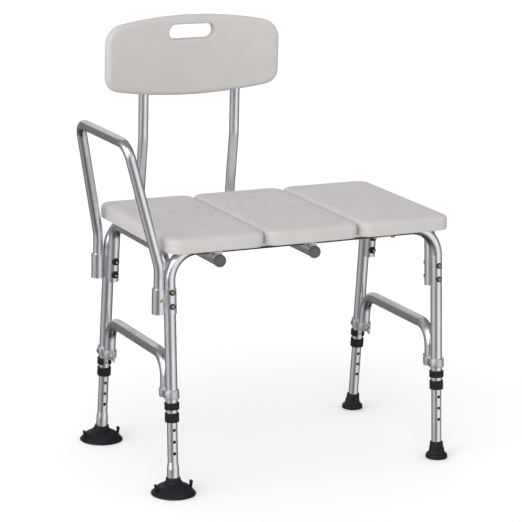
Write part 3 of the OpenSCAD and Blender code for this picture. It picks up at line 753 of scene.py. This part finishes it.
def corner_hardware():
    bolts, nuts = Shape(), Shape()
    for leg in LEGS:
        face = SLEEVE_R if leg.endswith("left") else TUBE_R
        for z in BOLT_Z:
            at = PLACE[leg] @ Matrix.Translation((0, 0, z))
            out = at @ Matrix.Rotation(math.pi / 2, 4, "X") @ Matrix.Translation((0, 0, face))
            nuts.add(*lathe([(0, -2), (6.4, -2), (6.5, 0.4), (6.1, 1.4), (5.7, 3.0), (4.9, 3.5),
                             (4.3, 3.3), (4.2, 2.0), (0, 2.0)], 48), out)
            bolts.add(*lathe(socket_head(4.1, 3.1, 1.9), 48, hex_recess(1.9)), out)
            inner = PAIR + TUBE_R
            bolts.add(*cylinder(3.0, -face, inner + 6.0, 24), at @ ALONG_Y)
            cap = at @ ALONG_Y @ Matrix.Translation((0, 0, inner - 0.6))

            def six(a, r, q):
                if r < 7.0:
                    return r
                part = (a % (TAU / 6)) - TAU / 12
                return r * math.cos(math.pi / 6) / math.cos(part) * 1.04
            nuts.add(*lathe([(0, -1.6), (8.1, -1.6), (8.2, 0.5), (7.9, 0.9), (0, 0.9)], 48), cap)
            nuts.add(*lathe([(0, 0), (7.4, 0), (7.5, 0.6), (7.5, 4.4), (6.9, 5.0), (5.6, 5.3), (5.2, 6.4),
                             (4.4, 7.4), (3.2, 7.9), (0, 7.9)], 72, six), cap)
            bolts.add(*lathe(dome(2.6, 6.4, 8.5, 0.9), 32), cap)
    piece("corner_bolts_headed", bolts, M_STEEL, "bench frame", ["corner_bolts"], 38)
    piece("corner_nut_domes", nuts, M_NYLON, "bench frame", ["corner_nut_caps"], 38)


def arm_buttons():
    for end, way in (("front", -1), ("rear", 1)):
        node = end + "_arm_button"
        lo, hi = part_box(node)
        mid = (lo + hi) / 2 / MM
        root = (hi.y if way < 0 else lo.y) / MM
        length = (hi.y - lo.y) / MM
        place = aim((mid.x, root, mid.z), (0, way, 0))
        shape = Shape().add(*lathe(dome(3.5, 0, length, 2.0), 40), place)
        piece(node + "_domed", shape, M_BRASS, end + " arm button", [node])


def back_buttons():
    for side in ("left", "right"):
        node = side + "_back_button"
        lo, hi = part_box(node)
        mid = (lo + hi) / 2 / MM
        place = aim((mid.x, mid.y, hi.z / MM), (0, 0, -1))
        shape = Shape().add(*lathe(dome(3.5, 0, (hi.z - lo.z) / MM, 2.0), 40), place)
        piece(node + "_domed", shape, M_BRASS, side + " back button", [node])


def receiver_caps():
    shape = Shape()
    for side in ("left", "right"):
        lo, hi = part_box(side + "_receiver")
        mid = (lo + hi) / 2 / MM
        place = aim((mid.x, lo.y / MM, mid.z), (0, -1, 0))
        shape.add(*lathe([(0, -14), (10.4, -14), (11.0, -13), (11.0, 0), (13.5, 0), (13.75, 0.8),
                          (13.6, 3.4), (12.9, 5.2), (11.2, 6.2), (8.6, 6.5), (8.2, 6.1),
                          (7.6, 6.0), (0, 6.2)], 64), place)
    piece("receiver_caps_domed", shape, M_PLUG, "bench frame", ["receiver_caps"])


corner_hardware()
arm_buttons()
back_buttons()
receiver_caps()


# ------------------------------------------------------- floor, light, camera

def floor():
    me = bpy.data.meshes.new("floor")
    size = 60.0
    me.from_pydata([(-size, -size, 0), (size, -size, 0), (size, size, 0), (-size, size, 0)],
                   [], [(0, 1, 2, 3)])
    mat, _, shader = new_material("pale_floor", (0.93, 0.93, 0.93), 0.9)
    shader.inputs["Specular IOR Level"].default_value = 0.1
    obj = link("floor", me, mat)
    obj.location.z = -0.0004
    obj.visible_glossy = False


def sun(name, towards, strength, softness):
    data = bpy.data.lights.new(name, "SUN")
    data.energy = strength
    data.angle = math.radians(softness)
    data.specular_factor = 0.1
    obj = bpy.data.objects.new(name, data)
    bpy.context.scene.collection.objects.link(obj)
    obj.rotation_mode = "QUATERNION"
    obj.rotation_quaternion = Vector(towards).to_track_quat("-Z", "Y")


# Brightness of the room that the metal reflects, by angle from the front in degrees
ROOM_BANDS = [(-180, 0.24), (-160, 0.20), (-140, 0.16), (-122, 0.52), (-85, 0.55), (-60, 0.30),
              (-42, 0.20), (-22, 0.22), (-2, 0.85), (16, 1.0), (46, 1.0), (64, 0.52), (84, 0.30),
              (100, 0.12), (138, 0.16), (150, 0.34), (162, 0.34), (172, 0.24)]


def math_node(tree, operation, *values):
    node = tree.nodes.new("ShaderNodeMath")
    node.operation = operation
    for i, value in enumerate(values):
        if isinstance(value, (int, float)):
            node.inputs[i].default_value = value
        else:
            tree.links.new(value, node.inputs[i])
    return node.outputs[0]


def studio_world():
    """White to the camera and soft all round; metal sees bright panels between dark gaps."""
    world = bpy.data.worlds.new("studio")
    bpy.context.scene.world = world
    world.use_nodes = True
    tree = world.node_tree
    tree.nodes.clear()
    coords = tree.nodes.new("ShaderNodeTexCoord")
    split = tree.nodes.new("ShaderNodeSeparateXYZ")
    tree.links.new(coords.outputs["Generated"], split.inputs[0])
    back = math_node(tree, "MULTIPLY", split.outputs["Y"], -1.0)
    angle = math_node(tree, "ARCTAN2", split.outputs["X"], back)
    turn = math_node(tree, "MULTIPLY_ADD", angle, 1 / TAU, 0.5)
    round_room = ramp(tree, turn, [((a + 180) / 360, (v, v, v * 1.03)) for a, v in ROOM_BANDS])
    height = math_node(tree, "MULTIPLY_ADD", split.outputs["Z"], 0.5, 0.5)
    # Dark underfoot, bright round the horizon, dimmer overhead
    lid = ramp(tree, height, [(0.0, (0.10,) * 3), (0.10, (0.14,) * 3), (0.24, (0.72,) * 3),
                              (0.46, (0.92,) * 3), (0.62, (0.9,) * 3), (0.78, (0.62,) * 3),
                              (1.0, (0.6,) * 3)])
    high = spread(tree, split.outputs["Z"], 0.0, 1.0, 0.45, 0.85)
    mix = tree.nodes.new("ShaderNodeMix")
    mix.data_type = "RGBA"
    tree.links.new(high, mix.inputs["Factor"])
    tree.links.new(round_room, mix.inputs[6])
    mix.inputs[7].default_value = (0.36, 0.36, 0.375, 1)
    both = tree.nodes.new("ShaderNodeMix")
    both.data_type = "RGBA"
    both.blend_type = "MULTIPLY"
    both.inputs["Factor"].default_value = 1.0
    tree.links.new(mix.outputs[2], both.inputs[6])
    tree.links.new(lid, both.inputs[7])
    room = tree.nodes.new("ShaderNodeBackground")
    tree.links.new(both.outputs[2], room.inputs["Color"])
    room.inputs["Strength"].default_value = 1.1
    soft = tree.nodes.new("ShaderNodeBackground")
    soft.inputs["Color"].default_value = (0.99, 0.995, 1.0, 1)
    soft.inputs["Strength"].default_value = 0.9
    white = tree.nodes.new("ShaderNodeBackground")
    white.inputs["Color"].default_value = (1, 1, 1, 1)
    path = tree.nodes.new("ShaderNodeLightPath")
    diffuse = tree.nodes.new("ShaderNodeMixShader")
    tree.links.new(path.outputs["Is Diffuse Ray"], diffuse.inputs["Fac"])
    tree.links.new(room.outputs[0], diffuse.inputs[1])
    tree.links.new(soft.outputs[0], diffuse.inputs[2])
    pick = tree.nodes.new("ShaderNodeMixShader")
    tree.links.new(path.outputs["Is Camera Ray"], pick.inputs["Fac"])
    tree.links.new(diffuse.outputs[0], pick.inputs[1])
    tree.links.new(white.outputs[0], pick.inputs[2])
    out = tree.nodes.new("ShaderNodeOutputWorld")
    tree.links.new(pick.outputs[0], out.inputs["Surface"])


def camera():
    """Set by fitting tube, seat and foot positions to the photographed view."""
    azimuth, elevation, roll = (math.radians(v) for v in (-26.35, 13.96, 1.32))
    origin = Vector((0.035425, -0.007844, 0))
    place = Vector((-2.3947, -4.7790, 1.7590)) + origin
    back = Vector((math.sin(azimuth) * math.cos(elevation),
                   -math.cos(azimuth) * math.cos(elevation), math.sin(elevation)))
    right = (-back).cross(Vector((0, 0, 1))).normalized()
    up = right.cross(-back)
    rolled = right * math.cos(roll) + up * math.sin(roll)
    rolled_up = up * math.cos(roll) - right * math.sin(roll)
    data = bpy.data.cameras.new("camera")
    data.sensor_width = 36
    data.lens = 172.96
    data.clip_start, data.clip_end = 0.1, 200
    obj = bpy.data.objects.new("camera", data)
    bpy.context.scene.collection.objects.link(obj)
    m = Matrix((rolled, rolled_up, back)).transposed().to_4x4()
    m.translation = place
    obj.matrix_world = m
    bpy.context.scene.camera = obj


floor()
studio_world()
sun("key", (0.45, 0.80, -0.75), 0.65, 38)
sun("side", (0.95, 0.25, -0.35), 1.1, 50)
sun("rim", (-0.1, -1.0, -0.7), 0.25, 50)
camera()
bpy.context.scene.view_settings.view_transform = "Standard"
